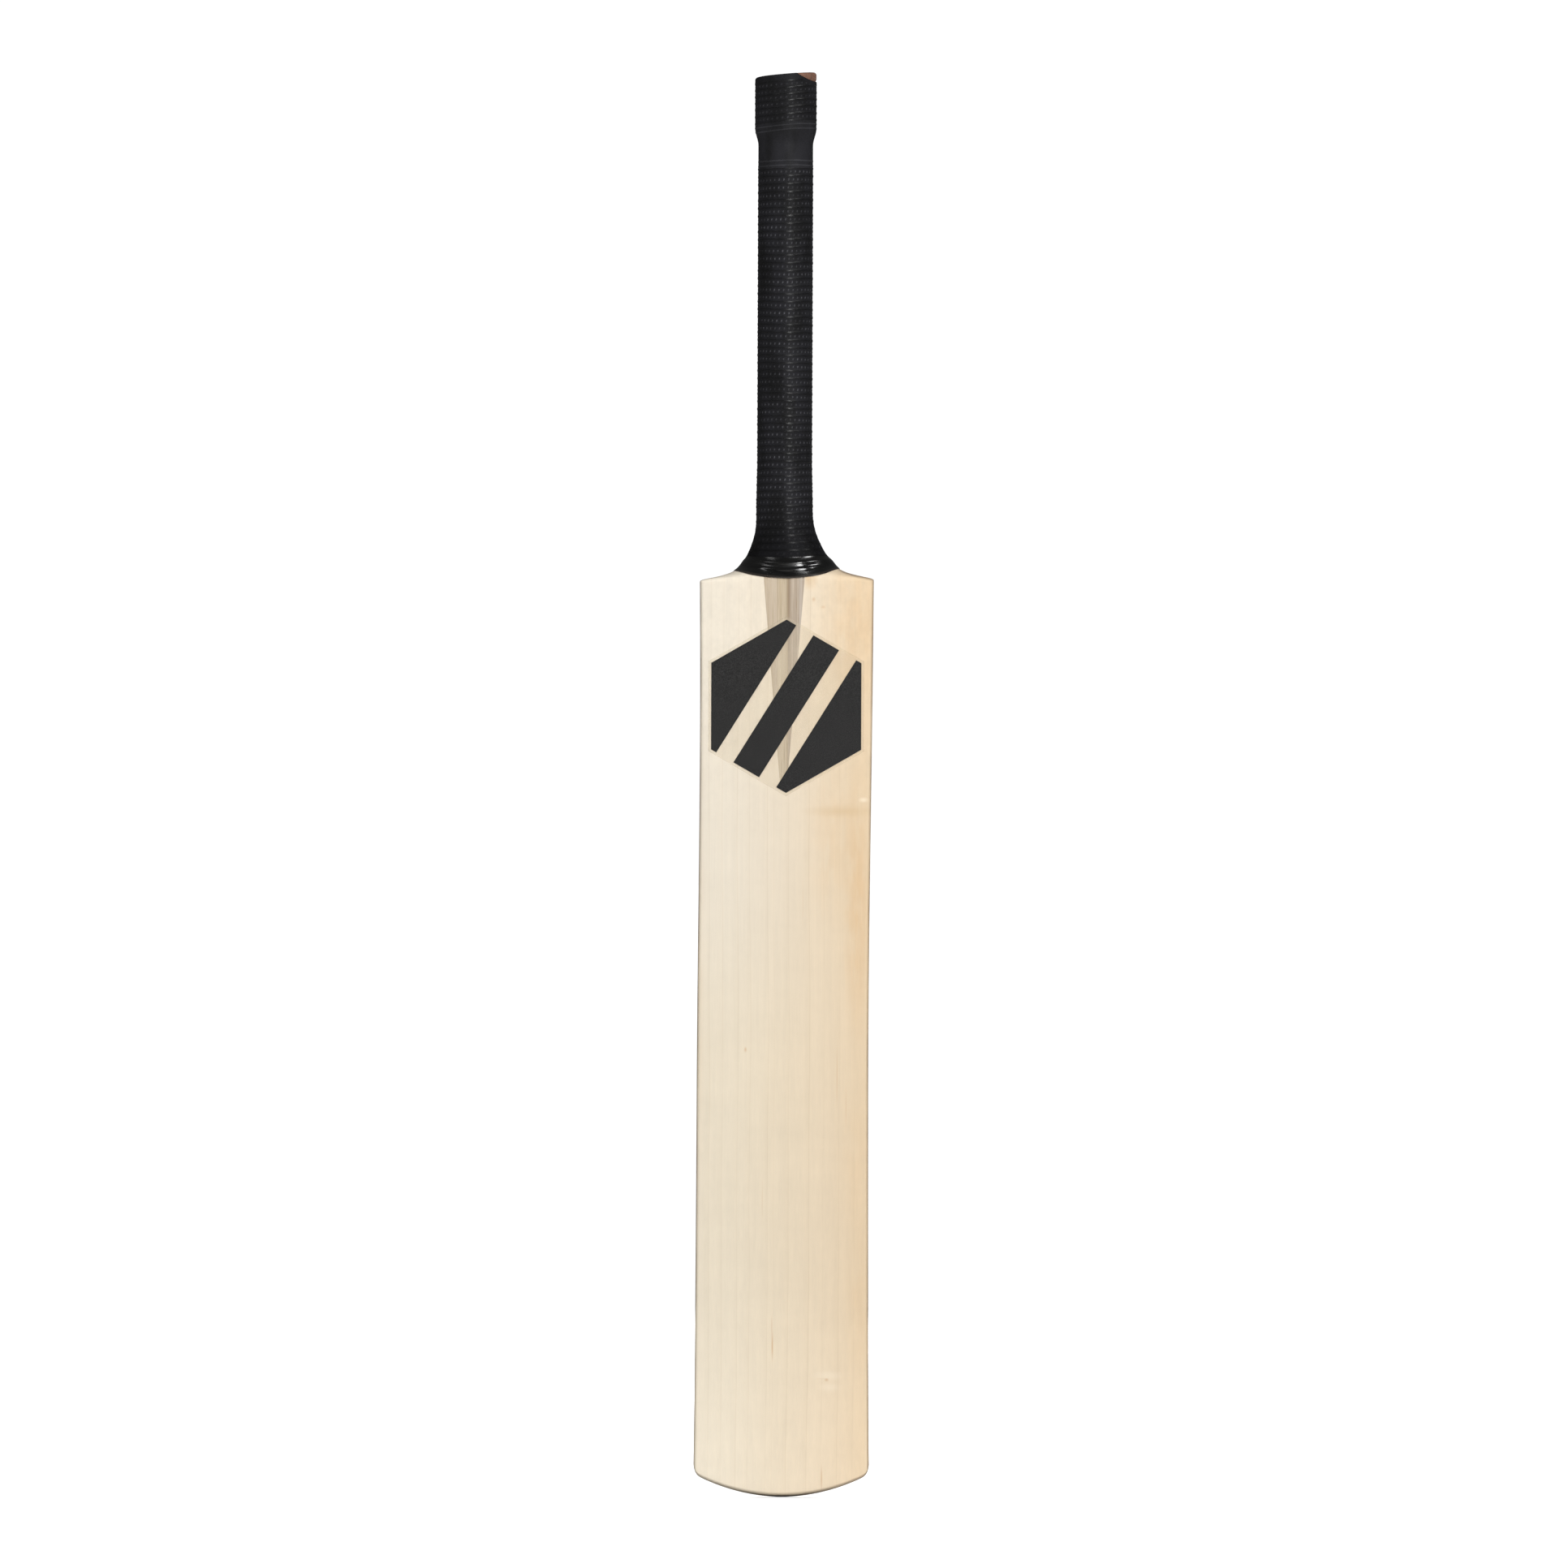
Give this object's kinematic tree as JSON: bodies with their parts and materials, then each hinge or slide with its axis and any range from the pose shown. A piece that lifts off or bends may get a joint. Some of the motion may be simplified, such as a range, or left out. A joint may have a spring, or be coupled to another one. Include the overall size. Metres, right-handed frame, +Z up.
{
  "type": "cricket bat",
  "caption": "Full-size cricket bat: bowed willow blade with a ridged back, spliced laminated cane handle, ribbed black rubber grip and a plain six-sided mark on the face.",
  "frame": {"origin": "the point on the handle's axis level with the lowest point of the toe", "axes": "+X to the right seen from the hitting face, -Y out of the hitting face, +Z up along the handle's axis"},
  "size_m": [0.1074, 0.0779, 0.8641],
  "materials": {
    "willow": "sanded and lightly oiled willow",
    "cane": "planed cane with fine pores",
    "layer_rubber": "matte sheet rubber",
    "twine": "glued waxed twine",
    "grip_rubber": "moulded rubber with fine ribs and dots",
    "tape": "glossy stretched tape",
    "film": "thin clear film",
    "vinyl": "fine speckled vinyl"
  },
  "bodies": {
    "root": {"blade": "willow", "cane_front_far_left": "cane", "cane_front_left": "cane", "cane_front_right": "cane", "cane_front_far_right": "cane", "cane_inner_front_far_left": "cane", "cane_inner_front_left": "cane", "cane_inner_front_right": "cane", "cane_inner_front_far_right": "cane", "cane_inner_back_far_left": "cane", "cane_inner_back_left": "cane", "cane_inner_back_right": "cane", "cane_inner_back_far_right": "cane", "cane_back_far_left": "cane", "cane_back_left": "cane", "cane_back_right": "cane", "cane_back_far_right": "cane", "rubber_layer_front": "layer_rubber", "rubber_layer_middle": "layer_rubber", "rubber_layer_back": "layer_rubber", "twine_binding": "twine", "grip": "grip_rubber", "collar_tape": "tape", "mark_film": "film", "mark_left": "vinyl", "mark_middle": "vinyl", "mark_right": "vinyl"}
  },
  "joints": []
}
